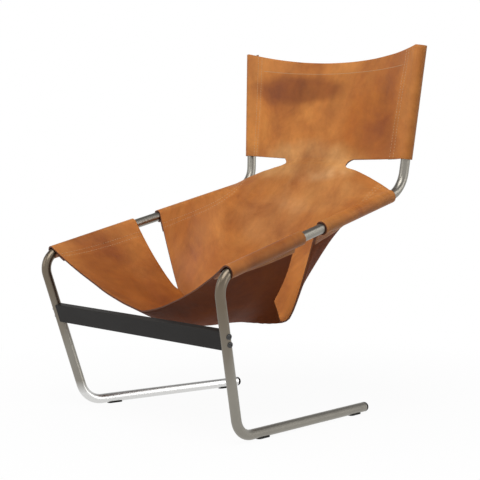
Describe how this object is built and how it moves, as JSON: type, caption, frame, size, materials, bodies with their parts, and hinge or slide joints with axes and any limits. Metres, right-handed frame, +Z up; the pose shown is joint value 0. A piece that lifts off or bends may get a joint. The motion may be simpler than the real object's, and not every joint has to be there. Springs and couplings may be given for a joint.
{
  "type": "cantilever lounge chair",
  "caption": "Low cantilever lounge chair: one saddle-leather hide slung between two bent steel tube side frames that a flat black bar ties together at the front.",
  "frame": {"origin": "on the floor, under the middle of the chair's width and depth", "axes": "+Z up, the sitter faces -Y, +X is the sitter's left"},
  "size_m": [0.7368, 0.7588, 0.9588],
  "materials": {
    "steel": "satin brushed along the tube",
    "bar_black": "semi-matt black powder coat",
    "screw_black": "black oxide",
    "cap_black": "matt black",
    "nylon_dark": "matt dark grey",
    "saddle_leather": "oiled, waxed grain with patina"
  },
  "bodies": {
    "root": {"side_frame_left": "steel", "side_frame_right": "steel", "front_crossbar": "bar_black", "crossbar_saddle_left": "bar_black", "crossbar_saddle_right": "bar_black", "crossbar_screws_left": "screw_black", "crossbar_screws_right": "screw_black", "crossbar_washers_left": "screw_black", "crossbar_washers_right": "screw_black", "skid_cap_left": "cap_black", "skid_cap_right": "cap_black", "upright_plug_left": "nylon_dark", "upright_plug_right": "nylon_dark", "glide_front_left": "nylon_dark", "glide_front_right": "nylon_dark", "glide_rear_left": "nylon_dark", "glide_rear_right": "nylon_dark", "hide": "saddle_leather"}
  },
  "joints": []
}
